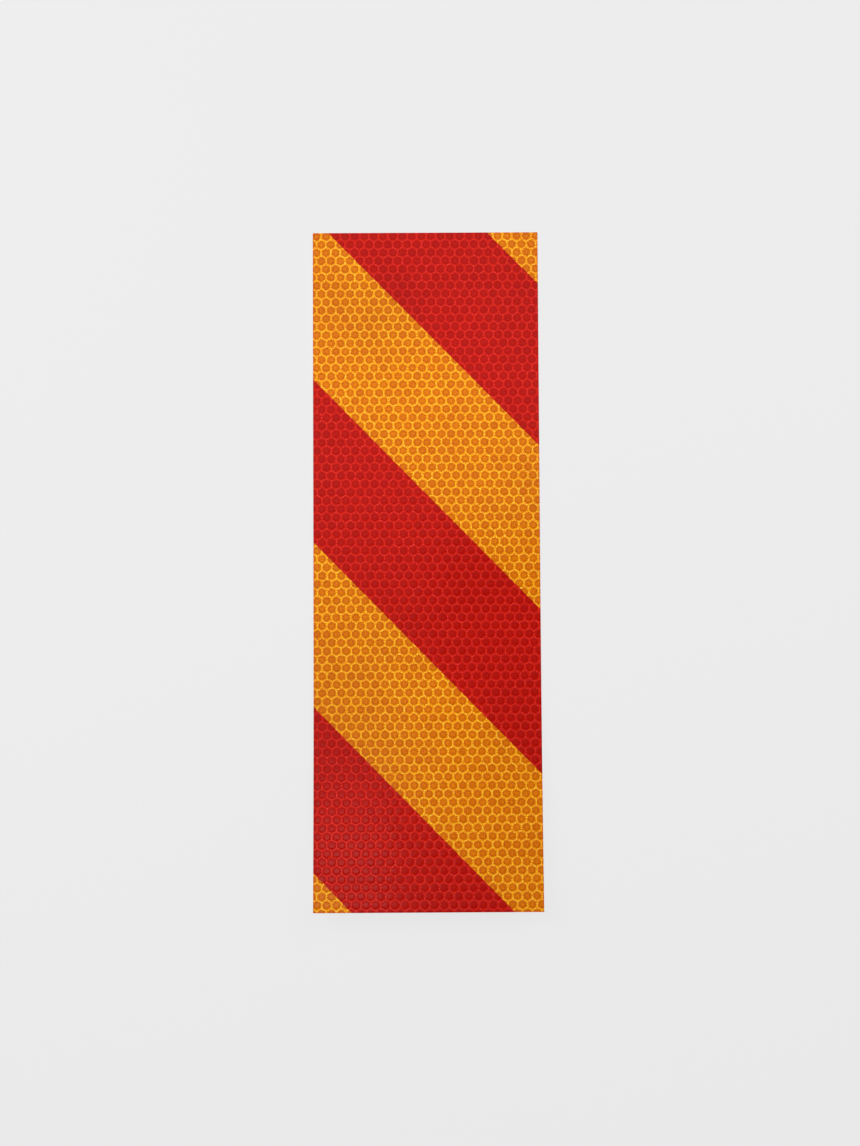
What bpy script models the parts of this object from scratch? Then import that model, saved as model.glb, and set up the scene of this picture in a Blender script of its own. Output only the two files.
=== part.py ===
"""Striped honeycomb reflective sticker, cut from a roll and lying face up with its lower end curled.

Metres, +Z up. The face looks up, the long side runs along Y and the curled end points to -Y.
The origin is under the middle of the sheet, on the surface that it rests on.
"""
import math

import bmesh
import bpy

# The cut sheet, laid flat
SHEET_WIDTH = 0.100
SHEET_LENGTH = 0.300
SHEET_THICKNESS = 0.00045

# The honeycomb of sealed cells under the face film
CELL_PITCH = 0.00426
SEAM_DEPTH = 0.0001
FIRST_COLUMN_INSET = 0.0016
FIRST_ROW_DROP = 0.00115

# The curl that the roll leaves in the lower end
CURL_LENGTH = 0.135
CURL_RADIUS = 0.950
CURL_STRIP = 0.009

# The printed stripes, which run at 45 degrees
STRIPE_WIDTH = 0.0508
FIRST_RED_EDGE = 0.0748
AMBER = (0.745, 0.227, 0.012, 1.0)
RED = (0.503, 0.015, 0.011, 1.0)
FACE_ROUGHNESS = 0.38

# Worked out from the sizes above
CELL_RADIUS = CELL_PITCH / math.sqrt(3)
ROW_PITCH = 1.5 * CELL_RADIUS
SEAM_HEIGHT = SHEET_THICKNESS - SEAM_DEPTH
TRIM_SNAP = 0.04 * CELL_PITCH
POCKET_REACH = 0.3 * CELL_PITCH
HALF_WIDTH = SHEET_WIDTH / 2
HALF_LENGTH = SHEET_LENGTH / 2
BEND_LINE = CURL_LENGTH - HALF_LENGTH


def clear_scene():
    for item in list(bpy.data.objects):
        bpy.data.objects.remove(item, do_unlink=True)


def striped_print():
    """Red and amber ink in slanting stripes, laid out on the flat sheet so that they follow the curl."""
    material = bpy.data.materials.new("striped_print")
    material.use_nodes = True
    nodes = material.node_tree.nodes
    links = material.node_tree.links
    shader = nodes["Principled BSDF"]
    shader.inputs["Roughness"].default_value = FACE_ROUGHNESS
    shader.inputs["Metallic"].default_value = 0.0

    flat_place = nodes.new("ShaderNodeUVMap")
    flat_place.uv_map = "flat_sheet"

    # How far a point lies from the middle of the sheet, square to the stripes
    across = nodes.new("ShaderNodeVectorMath")
    across.operation = "DOT_PRODUCT"
    across.inputs[1].default_value = (math.sqrt(0.5), math.sqrt(0.5), 0.0)
    from_edge = nodes.new("ShaderNodeMath")
    from_edge.operation = "SUBTRACT"
    from_edge.inputs[1].default_value = FIRST_RED_EDGE

    # One red and one amber stripe, over and over
    in_pair = nodes.new("ShaderNodeMath")
    in_pair.operation = "WRAP"
    in_pair.inputs[1].default_value = 2 * STRIPE_WIDTH
    in_pair.inputs[2].default_value = 0.0
    is_amber = nodes.new("ShaderNodeMath")
    is_amber.operation = "GREATER_THAN"
    is_amber.inputs[1].default_value = STRIPE_WIDTH
    ink = nodes.new("ShaderNodeMix")
    ink.data_type = "RGBA"
    ink.inputs["A"].default_value = RED
    ink.inputs["B"].default_value = AMBER

    links.new(flat_place.outputs["UV"], across.inputs[0])
    links.new(across.outputs["Value"], from_edge.inputs[0])
    links.new(from_edge.outputs["Value"], in_pair.inputs[0])
    links.new(in_pair.outputs["Value"], is_amber.inputs[0])
    links.new(is_amber.outputs["Value"], ink.inputs["Factor"])
    links.new(ink.outputs["Result"], shader.inputs["Base Color"])
    return material


def add_cell(bm, x, y):
    """One hexagon of the seam net, with a corner towards each end of the sheet."""
    corners = []
    for step in range(6):
        angle = math.radians(60 * step + 30)
        place = (x + CELL_RADIUS * math.cos(angle), y + CELL_RADIUS * math.sin(angle), SEAM_HEIGHT)
        corners.append(bm.verts.new(place))
    bm.faces.new(corners)


def add_honeycomb(bm):
    """Rows of cells over more than the sheet, each row half a cell along from the last."""
    rows = math.ceil(SHEET_LENGTH / ROW_PITCH) + 2
    columns = math.ceil(SHEET_WIDTH / CELL_PITCH) + 2
    for row in range(-1, rows):
        y = HALF_LENGTH - FIRST_ROW_DROP - row * ROW_PITCH
        first = FIRST_COLUMN_INSET - HALF_WIDTH - (row % 2) * CELL_PITCH / 2
        for column in range(-1, columns):
            add_cell(bm, first + column * CELL_PITCH, y)
    bmesh.ops.remove_doubles(bm, verts=bm.verts[:], dist=0.01 * CELL_PITCH)


def seat_on_cut_lines(bm):
    """Walls that all but lie on a cut edge are set on it, so that the trim leaves no slivers."""
    for vert in bm.verts:
        for axis, reach in ((0, HALF_WIDTH), (1, HALF_LENGTH)):
            for line in (-reach, reach):
                if abs(vert.co[axis] - line) < TRIM_SNAP:
                    vert.co[axis] = line


def raise_cells(bm):
    """The film bulges over each cell's pocket of air, but not where the trim cuts well into the pocket."""
    kept = []
    for face in bm.faces:
        middle = face.calc_center_median()
        if abs(middle.x) < HALF_WIDTH - POCKET_REACH and abs(middle.y) < HALF_LENGTH - POCKET_REACH:
            kept.append(face)
    bmesh.ops.poke(bm, faces=kept, offset=SEAM_DEPTH, center_mode="MEAN")


def trim_to_size(bm):
    """Four straight cuts, as the sheet is cut from the roll."""
    for axis, reach in ((0, HALF_WIDTH), (1, HALF_LENGTH)):
        for side in (-1, 1):
            normal = [0.0, 0.0, 0.0]
            normal[axis] = side
            point = [reach * part for part in normal]
            geometry = bm.verts[:] + bm.edges[:] + bm.faces[:]
            bmesh.ops.bisect_plane(bm, geom=geometry, dist=1e-6, plane_co=point, plane_no=normal, clear_outer=True)


def add_back(bm):
    """The smooth back, in one flat part and the narrow strips that the curl bends."""
    strips = max(1, round(CURL_LENGTH / CURL_STRIP))
    stations = [HALF_LENGTH]
    for step in range(strips + 1):
        stations.append(BEND_LINE - step * CURL_LENGTH / strips)
    last = None
    for y in stations:
        pair = [bm.verts.new((-HALF_WIDTH, y, 0.0)), bm.verts.new((HALF_WIDTH, y, 0.0))]
        if last:
            bm.faces.new((last[0], last[1], pair[1], pair[0]))
        last = pair


def add_cut_edges(bm):
    """The four square-cut edges, each one flat face from the back up to the seam net."""
    rounding = 1e-6
    for axis, reach in ((0, HALF_WIDTH), (1, HALF_LENGTH)):
        for line in (-reach, reach):
            rim = [vert for vert in bm.verts if abs(vert.co[axis] - line) < rounding]
            rim.sort(key=lambda vert: vert.co[1 - axis])
            upper = [vert for vert in rim if vert.co.z > 0]
            lower = [vert for vert in rim if vert.co.z == 0]
            bm.faces.new(upper + lower[::-1])


def note_flat_places(bm):
    """Keeps each point's place on the flat sheet, for the print."""
    layer = bm.loops.layers.uv.new("flat_sheet")
    for face in bm.faces:
        for loop in face.loops:
            loop[layer].uv = loop.vert.co.xy


def curl_lower_end(bm):
    """Rolls the lower end up round a line across the sheet, and centres what the sheet covers."""
    covered = HALF_LENGTH - BEND_LINE + CURL_RADIUS * math.sin(CURL_LENGTH / CURL_RADIUS)
    shift = covered / 2 - HALF_LENGTH
    for vert in bm.verts:
        past = BEND_LINE - vert.co.y
        if past > 0:
            angle = past / CURL_RADIUS
            reach = CURL_RADIUS - vert.co.z
            vert.co.y = BEND_LINE - reach * math.sin(angle)
            vert.co.z = CURL_RADIUS - reach * math.cos(angle)
        vert.co.y += shift


def reflective_sheet():
    """The bonded laminate of printed film, sealed cells, adhesive and backing paper."""
    bm = bmesh.new()
    add_honeycomb(bm)
    seat_on_cut_lines(bm)
    raise_cells(bm)
    trim_to_size(bm)
    add_back(bm)
    add_cut_edges(bm)
    note_flat_places(bm)
    bmesh.ops.recalc_face_normals(bm, faces=bm.faces[:])
    curl_lower_end(bm)

    mesh = bpy.data.meshes.new("reflective_sheet")
    bm.to_mesh(mesh)
    bm.free()
    mesh.materials.append(striped_print())
    mesh.shade_smooth()
    mesh.set_sharp_from_angle(angle=math.radians(30))
    sheet = bpy.data.objects.new("reflective_sheet", mesh)
    bpy.context.scene.collection.objects.link(sheet)


clear_scene()
reflective_sheet()
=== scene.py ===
import math

import bpy
import numpy as np
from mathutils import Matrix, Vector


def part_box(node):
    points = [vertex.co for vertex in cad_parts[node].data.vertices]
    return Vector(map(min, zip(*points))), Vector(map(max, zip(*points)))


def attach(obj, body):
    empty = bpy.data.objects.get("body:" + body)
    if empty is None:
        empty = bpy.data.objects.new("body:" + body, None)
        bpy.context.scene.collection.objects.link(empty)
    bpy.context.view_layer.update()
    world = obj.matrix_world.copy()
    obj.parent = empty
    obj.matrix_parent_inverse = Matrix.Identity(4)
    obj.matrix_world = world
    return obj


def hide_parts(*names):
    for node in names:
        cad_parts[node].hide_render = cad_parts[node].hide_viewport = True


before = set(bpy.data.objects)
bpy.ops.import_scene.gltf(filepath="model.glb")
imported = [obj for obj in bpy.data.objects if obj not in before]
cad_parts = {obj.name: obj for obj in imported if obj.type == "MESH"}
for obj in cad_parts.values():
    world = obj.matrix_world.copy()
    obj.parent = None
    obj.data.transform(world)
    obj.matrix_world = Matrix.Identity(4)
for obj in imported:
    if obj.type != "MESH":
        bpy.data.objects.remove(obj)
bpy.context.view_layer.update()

# The sheeting: printed film over a layer of sealed cells, welded to it along a honeycomb net, with adhesive and
# backing paper under it. The film sinks along the welds and bulges over each cell. All layers are cut through
# together, flush at the four edges, and the roll has left the lower end curled.
sheet_low, sheet_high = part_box("reflective_sheet")
SHEET_WIDTH = sheet_high[0] - sheet_low[0]
SHEET_LENGTH = 0.300
WELD_HEIGHT = 0.00035
CROWN_HEIGHT = 0.00039
CELL_PITCH = 0.00424
ROW_PITCH = 0.003689
CELL_RADIUS = ROW_PITCH / 1.5
WELD_WIDTH = 0.00074
CORNER_ROUNDING = 0.00045
SHOULDER_WIDTH = 0.00030
SHOULDER_RISE = 0.000034
CROWN_WIDTH = 0.00035
CROWN_RISE = 0.000005

# The net doesn't start at the cuts: the left cut and the upper cut go through a column and a row of cells
LEFT_CUT_TO_CELL = 0.00165
UPPER_CUT_TO_CELL = 0.00155
FIRST_CELL_X = LEFT_CUT_TO_CELL - CELL_PITCH / 2 - SHEET_WIDTH / 2
FIRST_CELL_Y = SHEET_LENGTH / 2 - UPPER_CUT_TO_CELL + ROW_PITCH
CELLS_ACROSS = math.ceil(SHEET_WIDTH / CELL_PITCH) + 1
ROWS_ALONG = math.ceil(SHEET_LENGTH / ROW_PITCH) + 2


def select_faces(piece, wanted):
    """Selects the faces that are wanted, and no others, and leaves the piece in edit mode."""
    bpy.ops.object.mode_set(mode="EDIT")
    bpy.ops.mesh.select_mode(type="FACE")
    bpy.ops.mesh.select_all(action="DESELECT")
    bpy.ops.object.mode_set(mode="OBJECT")
    for face in piece.data.polygons:
        face.select = wanted(face)
    bpy.ops.object.mode_set(mode="EDIT")


# One cell: the flat weld round it, its outline, whose six corners are rounded into twelve, the shoulder of the film
# and its low crown
CELL_SIDES = 6
bpy.ops.object.select_all(action="DESELECT")
bpy.ops.mesh.primitive_circle_add(
    vertices=CELL_SIDES,
    radius=CELL_RADIUS,
    fill_type="NGON",
    location=(FIRST_CELL_X, FIRST_CELL_Y, WELD_HEIGHT),
)
sheeting = bpy.context.object
sheeting.name = "striped_sheeting"
sheeting.data.name = "striped_sheeting"
bpy.ops.object.transform_apply(location=True)
bpy.ops.object.mode_set(mode="EDIT")
bpy.ops.mesh.select_all(action="SELECT")
bpy.ops.transform.resize(
    value=(CELL_PITCH / (math.sqrt(3) * CELL_RADIUS), 1, 1),
    center_override=(FIRST_CELL_X, FIRST_CELL_Y, WELD_HEIGHT),
)
bpy.ops.mesh.inset(thickness=WELD_WIDTH / 2)
bpy.ops.mesh.bevel(offset=CORNER_ROUNDING, affect="VERTICES", segments=1)
select_faces(sheeting, lambda face: len(face.vertices) == 2 * CELL_SIDES)
bpy.ops.mesh.inset(thickness=SHOULDER_WIDTH, depth=SHOULDER_RISE)
bpy.ops.mesh.inset(thickness=CROWN_WIDTH, depth=CROWN_RISE)
bpy.ops.mesh.poke(offset=CROWN_HEIGHT - WELD_HEIGHT - SHOULDER_RISE - CROWN_RISE)

# Its neighbour half a cell along in the next row, and then both copied over the whole sheet
bpy.ops.mesh.select_all(action="SELECT")
bpy.ops.mesh.duplicate_move(TRANSFORM_OT_translate={"value": (CELL_PITCH / 2, -ROW_PITCH, 0)})
bpy.ops.object.mode_set(mode="OBJECT")
for count, step in (
    (CELLS_ACROSS, (CELL_PITCH, 0, 0)),
    (math.ceil(ROWS_ALONG / 2), (0, -2 * ROW_PITCH, 0)),
):
    copies = sheeting.modifiers.new("copies", "ARRAY")
    copies.count = count
    copies.use_relative_offset = False
    copies.use_constant_offset = True
    copies.constant_offset_displace = step
    bpy.ops.object.modifier_apply(modifier=copies.name)
bpy.ops.object.mode_set(mode="EDIT")

# The net is one piece, so neighbours share the points where their welds meet
JOIN_REACH = 0.00001
bpy.ops.mesh.select_all(action="SELECT")
bpy.ops.mesh.remove_doubles(threshold=JOIN_REACH)

# The four cuts
CUT_TOLERANCE = 0.000001
for side in ((1, 0), (-1, 0), (0, 1), (0, -1)):
    bpy.ops.mesh.select_all(action="SELECT")
    bpy.ops.mesh.bisect(
        plane_co=(side[0] * SHEET_WIDTH / 2, side[1] * SHEET_LENGTH / 2, 0),
        plane_no=(side[0], side[1], 0),
        clear_outer=True,
        threshold=CUT_TOLERANCE,
    )

# The cut edges, drawn down from the rim of the film, and the back, in strips that can follow the curl
FACES_DOWN = -0.9
CURL_LENGTH = 0.135
CURL_STRIPS = 30
BEND_LINE = CURL_LENGTH - SHEET_LENGTH / 2
bpy.ops.mesh.select_mode(type="EDGE")
bpy.ops.mesh.select_all(action="DESELECT")
bpy.ops.mesh.select_non_manifold(
    extend=False,
    use_wire=False,
    use_boundary=True,
    use_multi_face=False,
    use_non_contiguous=False,
    use_verts=False,
)
bpy.ops.mesh.extrude_region_move()
bpy.ops.transform.resize(value=(1, 1, 0), center_override=(0, 0, 0))
bpy.ops.mesh.edge_face_add()
for strip in range(CURL_STRIPS):
    select_faces(sheeting, lambda face: face.normal.z < FACES_DOWN)
    bpy.ops.mesh.bisect(
        plane_co=(0, BEND_LINE - strip * CURL_LENGTH / CURL_STRIPS, 0),
        plane_no=(0, 1, 0),
        threshold=CUT_TOLERANCE,
    )
bpy.ops.mesh.select_all(action="SELECT")
bpy.ops.mesh.normals_make_consistent(inside=False)
bpy.ops.object.mode_set(mode="OBJECT")

# Each point keeps its place on the flat sheet, in millimetres, for the print and the layers of the cut edge
MM_PER_M = 1000
places = np.empty(3 * len(sheeting.data.vertices))
sheeting.data.vertices.foreach_get("co", places)
places = places.reshape(-1, 3)
flat_place = sheeting.data.attributes.new("flat_place", "FLOAT_VECTOR", "POINT")
flat_place.data.foreach_set("vector", MM_PER_M * places.ravel())

# The blade has pressed the film down along the cuts
PRESSED_WIDTH = 0.0006
from_cut = np.minimum(SHEET_WIDTH / 2 - abs(places[:, 0]), SHEET_LENGTH / 2 - abs(places[:, 1]))
spared = np.clip(from_cut / PRESSED_WIDTH, 0, 1)
highest = WELD_HEIGHT + spared ** 2 * (CROWN_HEIGHT - WELD_HEIGHT)
places[:, 2] = np.minimum(places[:, 2], highest)
sheeting.data.vertices.foreach_set("co", places.ravel())

# The curl, rolled round a line across the sheet, and the sheet centred on what it covers
CURL_RADIUS = 0.950
CURL_ANGLE = CURL_LENGTH / CURL_RADIUS
SHARP_ANGLE = math.radians(35)
bpy.ops.object.empty_add(location=(0, BEND_LINE, 0), rotation=(math.radians(90), 0, 0))
roll_axis = bpy.context.object
bpy.ops.object.select_all(action="DESELECT")
sheeting.select_set(True)
bpy.context.view_layer.objects.active = sheeting
curl = sheeting.modifiers.new("curl", "SIMPLE_DEFORM")
curl.deform_method = "BEND"
curl.deform_axis = "X"
curl.angle = CURL_ANGLE
curl.origin = roll_axis
curl.limits = ((SHEET_LENGTH - CURL_LENGTH) / SHEET_LENGTH, 1.0)
bpy.ops.object.modifier_apply(modifier=curl.name)
bpy.data.objects.remove(roll_axis, do_unlink=True)
bpy.ops.transform.translate(value=(0, sheet_high[1] - SHEET_LENGTH / 2, 0))
bpy.ops.object.transform_apply(location=True)
bpy.ops.object.shade_smooth_by_angle(angle=SHARP_ANGLE)


def connect(tree, node, values):
    """Gives a node its inputs in turn, each a number, a colour, a vector or another node's output."""
    for place, value in enumerate(values):
        if isinstance(value, bpy.types.NodeSocket):
            tree.links.new(value, node.inputs[place])
        elif value is not None:
            node.inputs[place].default_value = value


def number(tree, operation, *values):
    """Works out one number from others."""
    node = tree.nodes.new("ShaderNodeMath")
    node.operation = operation
    connect(tree, node, values)
    return node.outputs[0]


def vector(tree, operation, *values):
    """Works out a vector from others, or a length or a product of two as a number."""
    node = tree.nodes.new("ShaderNodeVectorMath")
    node.operation = operation
    connect(tree, node, values)
    return node.outputs["Value" if operation in ("LENGTH", "DOT_PRODUCT") else "Vector"]


def noise(tree, place, per_mm, detail=2.0, roughness=0.5):
    """Soft mottle from 0 to 1, with so many lumps to the millimetre."""
    node = tree.nodes.new("ShaderNodeTexNoise")
    connect(tree, node, (place, None, per_mm, detail, roughness))
    return node.outputs[0]


def spread(tree, value, low, high, new_low=0.0, new_high=1.0, easing="LINEAR"):
    """Turns the stretch from low to high into the stretch from new_low to new_high, and no further."""
    node = tree.nodes.new("ShaderNodeMapRange")
    node.interpolation_type = easing
    connect(tree, node, (value, low, high, new_low, new_high))
    return node.outputs[0]


def blend(tree, factor, first, second, way="MIX"):
    """The first colour, changed by so much of the second, by mixing, adding or multiplying."""
    node = tree.nodes.new("ShaderNodeMix")
    node.data_type = "RGBA"
    node.blend_type = way
    connect(tree, node, (factor, None, None, None, None, None, first, second))
    return node.outputs["Result"]


def shades(tree, value, stops):
    """A row of colours, each at its place along the value, which runs from 0 to 1."""
    node = tree.nodes.new("ShaderNodeValToRGB")
    node.color_ramp.elements.remove(node.color_ramp.elements[1])
    node.color_ramp.elements[0].position = stops[0][0]
    node.color_ramp.elements[0].color = (*stops[0][1], 1)
    for position, colour in stops[1:]:
        node.color_ramp.elements.new(position).color = (*colour, 1)
    connect(tree, node, (value,))
    return node.outputs["Color"]


def new_material(piece, name):
    """Gives the piece one more material, and returns its nodes and its shader."""
    material = bpy.data.materials.new(name)
    material.use_nodes = True
    piece.data.materials.append(material)
    return material.node_tree, material.node_tree.nodes["Principled BSDF"]


def place_on_flat_sheet(tree):
    """Where a point lay before the curl, in millimetres from the middle of the sheet's back."""
    node = tree.nodes.new("ShaderNodeAttribute")
    node.attribute_name = "flat_place"
    return node.outputs["Vector"]


# The stripes slant at 45 degrees on the roll, and the sheet was cut from it a little askew
STRIPE_SLANT = math.radians(45.7)
STRIPE_WIDTH_MM = 50.6
FIRST_RED_EDGE_MM = 73.85
INK_BLEED_MM = 0.04


def amber_ink(tree, place):
    """1 in the amber stripes and 0 in the red ones."""
    across = (math.sin(STRIPE_SLANT), math.cos(STRIPE_SLANT), 0)
    from_edge = number(tree, "SUBTRACT", vector(tree, "DOT_PRODUCT", place, across), FIRST_RED_EDGE_MM)
    in_pair = number(tree, "WRAP", from_edge, 2 * STRIPE_WIDTH_MM, 0.0)
    return spread(tree, in_pair, STRIPE_WIDTH_MM - INK_BLEED_MM, STRIPE_WIDTH_MM + INK_BLEED_MM)


# The printed face: clear tinted film over the cells. The net of welds shows light through the ink, each cell has a
# darker rim, and the ink is grainy. Each shade has its distance from the middle of the weld in millimetres, which
# goes below 0 where a grain shows the most light. The palest shade of each ink, at -0.60, is a painted glint.
AMBER_SHADES = (
    (-0.60, (1.000, 0.700, 0.080)),
    (-0.25, (0.990, 0.525, 0.016)),
    (0.00, (0.985, 0.428, 0.007)),
    (0.25, (0.965, 0.355, 0.003)),
    (0.42, (0.850, 0.250, 0.000)),
    (0.58, (0.670, 0.150, 0.000)),
    (0.80, (0.615, 0.121, 0.000)),
    (1.20, (0.690, 0.157, 0.000)),
    (1.90, (0.755, 0.210, 0.000)),
)
RED_SHADES = (
    (-0.60, (0.800, 0.056, 0.040)),
    (-0.25, (0.705, 0.022, 0.012)),
    (0.00, (0.655, 0.0155, 0.006)),
    (0.25, (0.608, 0.0115, 0.002)),
    (0.42, (0.550, 0.008, 0.000)),
    (0.58, (0.470, 0.004, 0.000)),
    (0.80, (0.422, 0.0040, 0.000)),
    (1.20, (0.437, 0.0060, 0.000)),
    (1.90, (0.475, 0.0085, 0.002)),
)
tree, shader = new_material(sheeting, "printed_face")
flat = vector(tree, "MULTIPLY", place_on_flat_sheet(tree), (1, 1, 0))
is_amber = amber_ink(tree, flat)

# The welds waver a little
SWAY_MM = 0.15
SWAYS_PER_MM = 0.45
sway = tree.nodes.new("ShaderNodeTexNoise")
connect(tree, sway, (flat, None, SWAYS_PER_MM, 1.0))
sway = vector(tree, "MULTIPLY_ADD", sway.outputs["Color"], (2 * SWAY_MM, 2 * SWAY_MM, 0), (-SWAY_MM, -SWAY_MM, 0))
swayed = vector(tree, "ADD", flat, sway)

# The middle of the nearest cell, out of the even rows and the odd rows, and the way there from each point
half_step = (MM_PER_M * CELL_PITCH / 2, MM_PER_M * ROW_PITCH, 1)
first_mm = (MM_PER_M * FIRST_CELL_X, MM_PER_M * FIRST_CELL_Y, 0)
second_mm = (first_mm[0] + half_step[0], first_mm[1] - half_step[1], 0)
offsets = []
for start_mm in (first_mm, second_mm):
    from_start = vector(tree, "SUBTRACT", swayed, start_mm)
    offsets.append(vector(tree, "WRAP", from_start, half_step, tuple(-step for step in half_step)))
even_is_nearer = number(
    tree, "LESS_THAN", vector(tree, "LENGTH", offsets[0]), vector(tree, "LENGTH", offsets[1])
)
nearer = tree.nodes.new("ShaderNodeMix")
nearer.data_type = "VECTOR"
connect(tree, nearer, (even_is_nearer, None, None, None, offsets[1], offsets[0]))
from_middle = nearer.outputs["Result"]

# How far out towards the cell's six walls a point is, rounded where two walls meet
WALL_MM = MM_PER_M * CELL_PITCH / 2
ROUNDING_MM = 0.70
towards = []
for x_mm, y_mm in ((2 * half_step[0], 0), (half_step[0], half_step[1]), (-half_step[0], half_step[1])):
    scale = 2 * WALL_MM / (x_mm ** 2 + y_mm ** 2)
    direction = (x_mm * scale, y_mm * scale, 0)
    towards.append(number(tree, "ABSOLUTE", vector(tree, "DOT_PRODUCT", from_middle, direction)))
reach = number(tree, "SMOOTH_MAX", towards[0], towards[1], ROUNDING_MM)
reach = number(tree, "SMOOTH_MAX", reach, towards[2], ROUNDING_MM)
from_weld = number(tree, "SUBTRACT", WALL_MM, reach)

# Each cell has its own tone
CELL_TONES = ((0, (0.95, 0.90, 0.90)), (1, (1.04, 1.08, 1.10)))
cell = vector(tree, "SUBTRACT", vector(tree, "SUBTRACT", swayed, from_middle), first_mm)
cell = vector(tree, "ADD", vector(tree, "DIVIDE", cell, half_step), (0.5, 0.5, 0.5))
cell = vector(tree, "FLOOR", cell)
chance = tree.nodes.new("ShaderNodeTexWhiteNoise")
connect(tree, chance, (cell,))
cell_tone = shades(tree, chance.outputs["Value"], CELL_TONES)

# Grains and gaps along the welds let more or less light through, and a few do so in the cells
# The brightest grains reach the painted glint at the pale end of the shades
GRAIN_MM = 1.5
GRAIN_IN_CELLS = 0.35
grain = spread(tree, noise(tree, flat, per_mm=1.7, roughness=0.6), 0.0, 1.0, -GRAIN_MM, GRAIN_MM)
grain_share = spread(tree, from_weld, 0.20, 0.50, 1.0, GRAIN_IN_CELLS)
from_weld = number(tree, "ADD", from_weld, number(tree, "MULTIPLY", grain, grain_share))

# The two inks, by the distance from the weld
inks = []
for stops in (RED_SHADES, AMBER_SHADES):
    nearest, farthest = stops[0][0], stops[-1][0]
    along = spread(tree, from_weld, nearest, farthest)
    stops = [((mm - nearest) / (farthest - nearest), colour) for mm, colour in stops]
    inks.append(shades(tree, along, stops))
ink = blend(tree, is_amber, inks[0], inks[1])

# Painted highlights: bright glints painted into the colour at scattered spots along the welds
PAINTED_GLINT_ON_RED = (0.09, 0.030, 0.025, 1)
PAINTED_GLINT_ON_AMBER = (0.01, 0.23, 0.10, 1)
painted_glint = spread(tree, noise(tree, flat, per_mm=1.5, roughness=0.6), 0.50, 0.74)
painted_glint = number(tree, "MULTIPLY", painted_glint, spread(tree, from_weld, -0.15, 0.30, 1.0, 0.0))
ink = blend(tree, painted_glint, ink, blend(tree, is_amber, PAINTED_GLINT_ON_RED, PAINTED_GLINT_ON_AMBER), "ADD")

# The film's colour is darker in a narrow band along the cuts
CUT_DARKENING_SHADE = (0.93, 0.82, 0.55, 1)
DARKEST_MM, UNDARKENED_MM = 0.15, 0.85
apart = tree.nodes.new("ShaderNodeSeparateXYZ")
connect(tree, apart, (vector(tree, "ABSOLUTE", flat),))
to_side = number(tree, "SUBTRACT", MM_PER_M * SHEET_WIDTH / 2, apart.outputs["X"])
to_end = number(tree, "SUBTRACT", MM_PER_M * SHEET_LENGTH / 2, apart.outputs["Y"])
darker_by_cut = spread(tree, number(tree, "MINIMUM", to_side, to_end), DARKEST_MM, UNDARKENED_MM, 1.0, 0.0)
ink = blend(tree, darker_by_cut, ink, CUT_DARKENING_SHADE, "MULTIPLY")

# Mottle in the ink, a bluish bloom on it, and broad lighter and darker patches over the whole sheet: thicker and
# thinner ink, and painted light and shade. The bloom is read elsewhere in the noise than the rest, so that it
# doesn't follow it; the drift is read at a place in the noise picked so that its lighter and darker patches lie
# where the light on the sheet falls brighter and dimmer.
MOTTLE_SHADES = ((0.0, (0.80, 0.43, 0.36)), (0.5, (1.0, 1.0, 1.0)), (1.0, (1.11, 1.62, 1.80)))
BLOOM_SHADE = (0.010, -0.004, 0.030, 1)
BLOOM_PLACE = (0, 0, 30)
PAINTED_LIGHT_DRIFT_PLACE = (-680, 2250, 230)
mottle = spread(tree, noise(tree, flat, per_mm=1.9, roughness=0.6), 0.3, 0.7)
ink = blend(tree, 1.0, ink, cell_tone, "MULTIPLY")
ink = blend(tree, 1.0, ink, shades(tree, mottle, MOTTLE_SHADES), "MULTIPLY")
bloom = noise(tree, vector(tree, "ADD", flat, BLOOM_PLACE), per_mm=1.8, roughness=0.6)
ink = blend(tree, spread(tree, bloom, 0.53, 0.75), ink, BLOOM_SHADE, "ADD")
# Painted light and shade: broad patches that brighten and darken the ink where the light on the sheet is brighter
# and dimmer
ink_drift_and_painted_light = noise(tree, vector(tree, "ADD", flat, PAINTED_LIGHT_DRIFT_PLACE), per_mm=0.014, detail=1.0)
ink_drift_and_painted_light = spread(tree, ink_drift_and_painted_light, 0.3, 0.7, 0.92, 1.08)
ink = blend(tree, 1.0, ink, ink_drift_and_painted_light, "MULTIPLY")
ink = vector(tree, "MINIMUM", vector(tree, "MAXIMUM", ink, (0, 0, 0)), (1, 1, 1))
tree.links.new(ink, shader.inputs["Base Color"])

# The ink lies under the film's clear surface, and only that has the gloss
shader.inputs["Roughness"].default_value = 0.35
shader.inputs["Specular IOR Level"].default_value = 0.03
shader.inputs["Coat Weight"].default_value = 0.45
shader.inputs["Coat Roughness"].default_value = 0.085

# The cut edge, left rough by the blade. It shows the layers: paper, adhesive, the white back film and, on top,
# the film in the colour of its stripe.
FRAY_MM = 0.03
LAYERS_MM = 0.45
FILM_BACK, FILM_FRONT = 0.62, 0.68
RED_FILM = (0.50, 0.008, 0.004, 1)
AMBER_FILM = (0.80, 0.22, 0.006, 1)
tree, shader = new_material(sheeting, "cut_edge")
place = place_on_flat_sheet(tree)
apart = tree.nodes.new("ShaderNodeSeparateXYZ")
connect(tree, apart, (place,))
fray = spread(tree, noise(tree, place, per_mm=3.0, detail=3.0), 0.0, 1.0, -FRAY_MM, FRAY_MM)
layer = spread(tree, number(tree, "ADD", apart.outputs["Z"], fray), 0.0, LAYERS_MM)
layers = shades(tree, layer, (
    (0.00, (0.72, 0.69, 0.60)),
    (0.22, (0.70, 0.67, 0.58)),
    (0.25, (0.33, 0.31, 0.27)),
    (0.36, (0.36, 0.34, 0.30)),
    (0.40, (0.74, 0.73, 0.70)),
    (0.60, (0.70, 0.69, 0.67)),
))
film = blend(tree, amber_ink(tree, place), RED_FILM, AMBER_FILM)
layers = blend(tree, spread(tree, layer, FILM_BACK, FILM_FRONT), layers, film)
tree.links.new(layers, shader.inputs["Base Color"])
shader.inputs["Roughness"].default_value = 0.6

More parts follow.
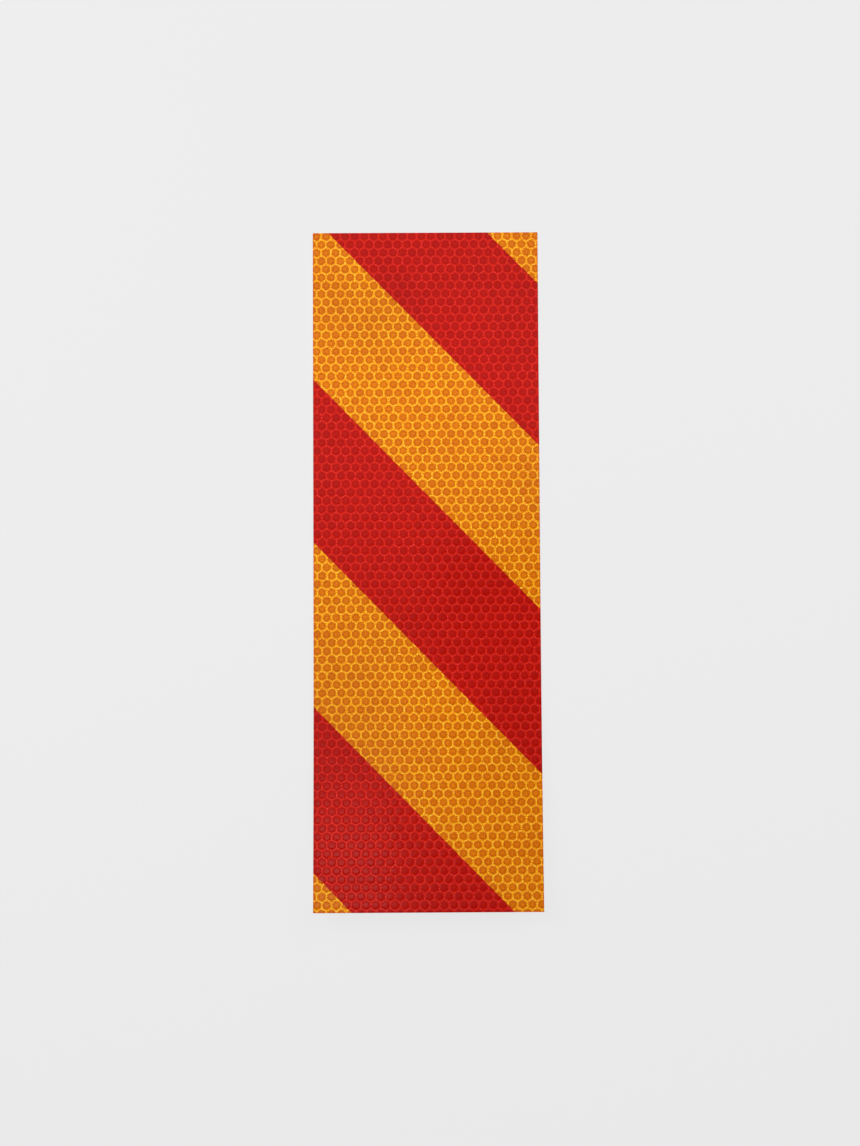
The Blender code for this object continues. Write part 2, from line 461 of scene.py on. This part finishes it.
# The backing paper: smooth glazed paper with cloudy pulp and fine fibres that run along the sheet
CLOUD_SHADES = ((0, (0.66, 0.63, 0.54)), (1, (0.74, 0.72, 0.64)))
FIBRE_SHADES = ((0, (0.93, 0.92, 0.90)), (1, (1.03, 1.03, 1.03)))
tree, shader = new_material(sheeting, "backing_paper")
place = place_on_flat_sheet(tree)
clouds = spread(tree, noise(tree, place, per_mm=0.18, detail=4.0, roughness=0.6), 0.3, 0.7)
lengthwise = vector(tree, "MULTIPLY", place, (1.0, 0.25, 1.0))
fibres = spread(tree, noise(tree, lengthwise, per_mm=2.6, detail=5.0, roughness=0.7), 0.35, 0.65)
paper = shades(tree, clouds, CLOUD_SHADES)
paper = blend(tree, 1.0, paper, shades(tree, fibres, FIBRE_SHADES), "MULTIPLY")
tree.links.new(paper, shader.inputs["Base Color"])
shader.inputs["Roughness"].default_value = 0.48
rise = tree.nodes.new("ShaderNodeBump")
rise.inputs["Strength"].default_value = 0.25
rise.inputs["Distance"].default_value = 0.00005
tree.links.new(fibres, rise.inputs["Height"])
tree.links.new(rise.outputs[0], shader.inputs["Normal"])

# The back and the cut edges get their own materials, and the back stays flat between its strips
STEEP = 0.5
for face in sheeting.data.polygons:
    if face.normal.z < -STEEP:
        face.material_index = sheeting.data.materials.find("backing_paper")
        face.use_smooth = False
    elif face.normal.z < STEEP:
        face.material_index = sheeting.data.materials.find("cut_edge")

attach(sheeting, "root")
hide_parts("reflective_sheet")

# The floor: a plain pale bench top. It glows a little, so that its shade stays even far from the lamps and the
# faint shadow of the curled end still falls on it.
PALE_GREY = 0.84
FLOOR_SIZE = 40
FLOOR_GLOW = 0.92
bpy.ops.object.select_all(action="DESELECT")
bpy.ops.mesh.primitive_plane_add(size=FLOOR_SIZE, location=(0, 0, 0))
floor = bpy.context.object
floor.name = "floor"
tree, shader = new_material(floor, "pale_floor")
shader.inputs["Base Color"].default_value = (PALE_GREY, PALE_GREY, PALE_GREY, 1)
shader.inputs["Roughness"].default_value = 1.0
shader.inputs["Specular IOR Level"].default_value = 0.0
glow = tree.nodes.new("ShaderNodeEmission")
glow.inputs["Color"].default_value = (PALE_GREY, PALE_GREY, PALE_GREY, 1)
rays = tree.nodes.new("ShaderNodeLightPath")
seen = number(tree, "MAXIMUM", rays.outputs["Is Camera Ray"], rays.outputs["Is Glossy Ray"])
seen = number(tree, "MAXIMUM", seen, rays.outputs["Is Transmission Ray"])
both = tree.nodes.new("ShaderNodeMixShader")
glow_share = number(tree, "MULTIPLY", seen, FLOOR_GLOW)
connect(tree, both, (glow_share, shader.outputs[0], glow.outputs[0]))
tree.links.new(both.outputs[0], tree.nodes["Material Output"].inputs["Surface"])

# Plain soft studio light: a wide lamp on each side of the sheet, and three dim panels overhead, which look
# straight down and whose reflection lies on the film as a faint haze
for name, place, aim, size, power in (
    ("left_lamp", (-0.42, 0.20, 0.50), (0, 0.06, 0), (0.5, 0.5), 3.85),
    ("right_lamp", (0.42, 0.32, 0.50), (0, 0.06, 0), (0.5, 0.5), 2.65),
    ("wide_panel", (0, 0.417, 1.2), (0, 0.417, 0), (0.7, 0.6), 0.45),
    ("left_panel", (-0.171, 0.067, 1.2), (-0.171, 0.067, 0), (0.358, 0.1), 0.030),
    ("small_panel", (-0.056, -0.0235, 0.60), (-0.056, -0.0235, 0), (0.060, 0.013), 0.0042),
):
    bpy.ops.object.light_add(type="AREA", location=place)
    lamp = bpy.context.object
    lamp.name = name
    lamp.data.shape = "RECTANGLE"
    lamp.data.size, lamp.data.size_y = size
    lamp.data.energy = power
    from_aim = [start - end for start, end in zip(place, aim)]
    sideways = math.hypot(from_aim[0], from_aim[1])
    turn = math.atan2(from_aim[1], from_aim[0]) + math.pi / 2 if sideways > 0 else 0
    lamp.rotation_euler = (math.atan2(sideways, from_aim[2]), 0, turn)

# The room, which fills in the shade and shows in the sheet's gloss: walls as pale as the floor, which go over
# into a dark ceiling
CEILING_GREY = 0.03
WALL_TOP, CEILING_EDGE = 0.12, 0.55
world = bpy.context.scene.world or bpy.data.worlds.new("room")
bpy.context.scene.world = world
world.use_nodes = True
tree = world.node_tree
direction = tree.nodes.new("ShaderNodeTexCoord")
apart = tree.nodes.new("ShaderNodeSeparateXYZ")
connect(tree, apart, (direction.outputs["Generated"],))
room = spread(tree, apart.outputs["Z"], WALL_TOP, CEILING_EDGE, PALE_GREY, CEILING_GREY, "SMOOTHSTEP")
tree.links.new(room, tree.nodes["Background"].inputs["Strength"])
tree.nodes["Background"].inputs["Color"].default_value = (1, 1, 1, 1)

# The camera looks down on the sheet from a metre above, a little nearer to its curled end than to its flat one
# and tilted by a few degrees
bpy.ops.object.camera_add(
    location=(-0.00272, -0.06622, 0.99782),
    rotation=(math.radians(3.686), math.radians(-0.216), math.radians(-0.300)),
)
camera = bpy.context.object
camera.data.lens = 71.247
camera.data.sensor_fit = "VERTICAL"
camera.data.sensor_height = 36
bpy.context.scene.camera = camera

bpy.context.scene.view_settings.view_transform = "Standard"
